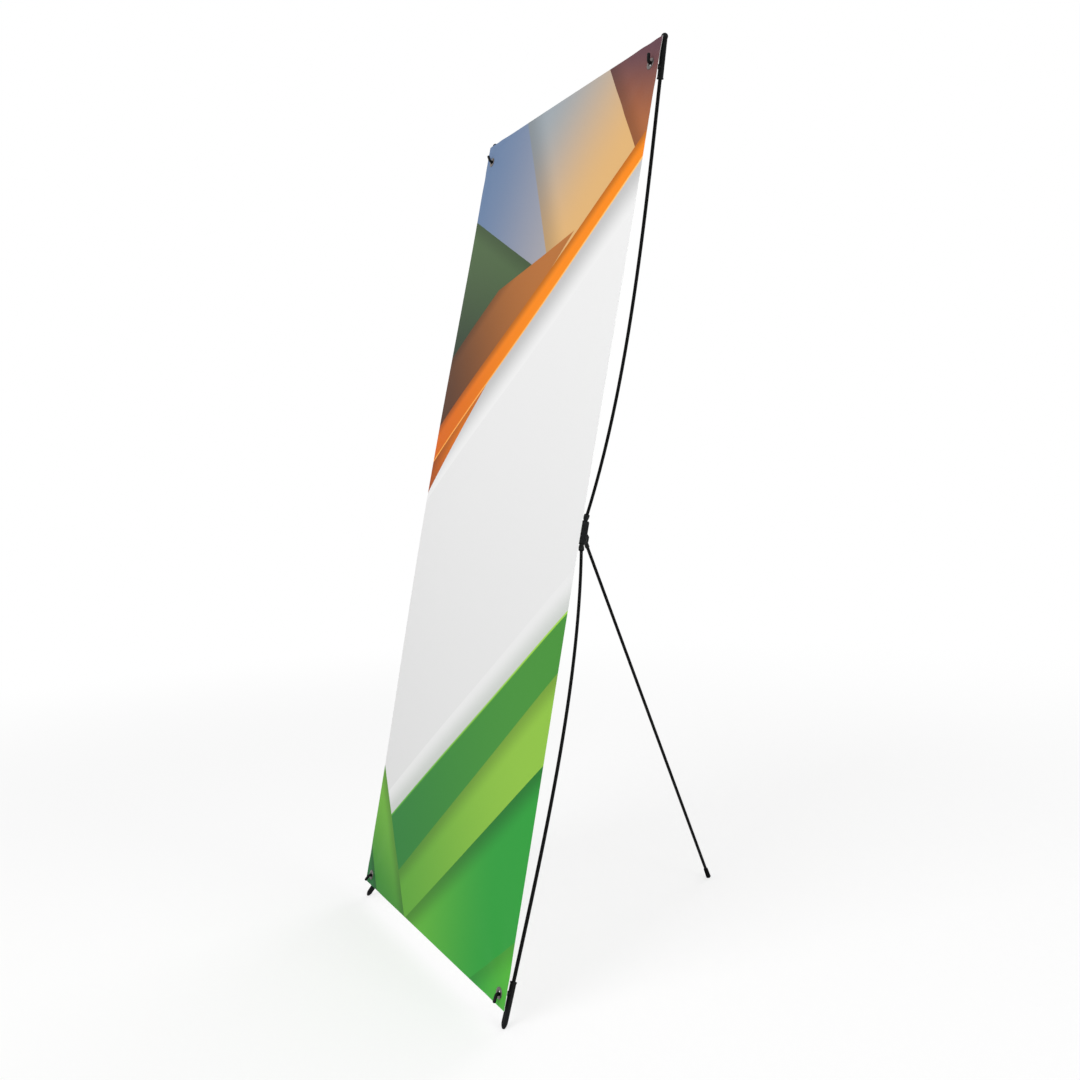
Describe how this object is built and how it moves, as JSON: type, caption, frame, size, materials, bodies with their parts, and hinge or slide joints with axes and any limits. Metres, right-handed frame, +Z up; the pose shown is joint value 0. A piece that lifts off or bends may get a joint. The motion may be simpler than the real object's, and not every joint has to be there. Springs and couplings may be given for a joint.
{
  "type": "x banner stand",
  "caption": "Free-standing display stand: a printed sheet stretched by bowed rods on a folding hub, with a hinged rear leg.",
  "frame": {"origin": "on the floor, under the middle of the stand's overall box", "axes": "+Z up, -Y the side that the sheet faces, +X to the right seen from the front"},
  "size_m": [0.8, 0.84, 2.0007],
  "materials": {
    "printed_sheet": "matt printed film",
    "hub_plastic": "fine moulded texture",
    "socket_plastic": "fine moulded texture",
    "cap_plastic": "satin moulded",
    "rod_glass_fibre": "satin pulled glass fibre",
    "foot_rubber": "matt",
    "eyelet_nickel": "nickel plated",
    "pin_steel": "zinc plated"
  },
  "bodies": {
    "hub": {"hub_front_shell": "hub_plastic", "hub_rear_shell": "hub_plastic", "hub_screw_left": "pin_steel", "hub_screw_right": "pin_steel", "arm_pin_upper_right": "pin_steel", "arm_pin_upper_left": "pin_steel", "arm_pin_lower_right": "pin_steel", "arm_pin_lower_left": "pin_steel", "leg_pin": "pin_steel"},
    "arm_upper_right": {"socket_upper_right": "socket_plastic", "rod_upper_right": "rod_glass_fibre"},
    "arm_upper_left": {"socket_upper_left": "socket_plastic", "rod_upper_left": "rod_glass_fibre"},
    "arm_lower_right": {"socket_lower_right": "socket_plastic", "rod_lower_right": "rod_glass_fibre"},
    "arm_lower_left": {"socket_lower_left": "socket_plastic", "rod_lower_left": "rod_glass_fibre"},
    "cap_upper_right": {"hook_cap_upper_right": "cap_plastic", "eyelet_upper_right": "eyelet_nickel", "eyelet_washer_upper_right": "eyelet_nickel"},
    "cap_upper_left": {"hook_cap_upper_left": "cap_plastic", "eyelet_upper_left": "eyelet_nickel", "eyelet_washer_upper_left": "eyelet_nickel"},
    "cap_lower_right": {"hook_cap_lower_right": "cap_plastic", "eyelet_lower_right": "eyelet_nickel", "eyelet_washer_lower_right": "eyelet_nickel"},
    "cap_lower_left": {"hook_cap_lower_left": "cap_plastic", "eyelet_lower_left": "eyelet_nickel", "eyelet_washer_lower_left": "eyelet_nickel"},
    "banner": {"banner_sheet": "printed_sheet"},
    "leg": {"leg_socket": "socket_plastic", "leg_rod": "rod_glass_fibre", "leg_foot": "foot_rubber"}
  },
  "joints": [
    {"name": "frame_fold", "type": "hinge", "parent": "hub", "child": "arm_upper_right", "pos_m": [0.0115, 0.04549, 0.97147], "axis": [0, -0.9759, 0.2181], "range_deg": [0, 20.8], "deforming": ["banner_sheet"]},
    {"name": "arm_fold_upper_left", "type": "hinge", "parent": "hub", "child": "arm_upper_left", "pos_m": [-0.0115, 0.04549, 0.97147], "axis": [0, 0.9759, -0.2181], "range_deg": [0, 20.8]},
    {"name": "arm_fold_lower_right", "type": "hinge", "parent": "hub", "child": "arm_lower_right", "pos_m": [0.0115, 0.03589, 0.92853], "axis": [0, 0.9759, -0.2181], "range_deg": [0, 20.8]},
    {"name": "arm_fold_lower_left", "type": "hinge", "parent": "hub", "child": "arm_lower_left", "pos_m": [-0.0115, 0.03589, 0.92853], "axis": [0, -0.9759, 0.2181], "range_deg": [0, 20.8]},
    {"name": "cap_slide_upper_right", "type": "slide", "parent": "arm_upper_right", "child": "cap_upper_right", "axis": [-0.3419, 0.0765, -0.9366], "range_m": [0, 0.0686]},
    {"name": "cap_slide_upper_left", "type": "slide", "parent": "arm_upper_left", "child": "cap_upper_left", "axis": [0.3419, 0.0765, -0.9366], "range_m": [0, 0.0686]},
    {"name": "cap_slide_lower_right", "type": "slide", "parent": "arm_lower_right", "child": "cap_lower_right", "axis": [-0.3419, 0.468, 0.8149], "range_m": [0, 0.0686]},
    {"name": "cap_slide_lower_left", "type": "slide", "parent": "arm_lower_left", "child": "cap_lower_left", "axis": [0.3419, 0.468, 0.8149], "range_m": [0, 0.0686]},
    {"name": "banner_slide", "type": "slide", "parent": "hub", "child": "banner", "axis": [0, 0.9759, -0.2181], "range_m": [0, 0.0192]},
    {"name": "leg_fold", "type": "hinge", "parent": "hub", "child": "leg", "pos_m": [0, 0.0513, 0.93328], "axis": [1, 0, 0], "range_deg": [-33.9, 0]}
  ],
  "couplings": [
    {"joint": "arm_fold_upper_left", "follows": "frame_fold", "ratio": 1},
    {"joint": "arm_fold_lower_right", "follows": "frame_fold", "ratio": 1},
    {"joint": "arm_fold_lower_left", "follows": "frame_fold", "ratio": 1},
    {"joint": "cap_slide_upper_right", "follows": "frame_fold", "m_per_rad": 0.18875},
    {"joint": "cap_slide_upper_left", "follows": "frame_fold", "m_per_rad": 0.18875},
    {"joint": "cap_slide_lower_right", "follows": "frame_fold", "m_per_rad": 0.18875},
    {"joint": "cap_slide_lower_left", "follows": "frame_fold", "m_per_rad": 0.18875},
    {"joint": "banner_slide", "follows": "frame_fold", "m_per_rad": 0.05266}
  ]
}
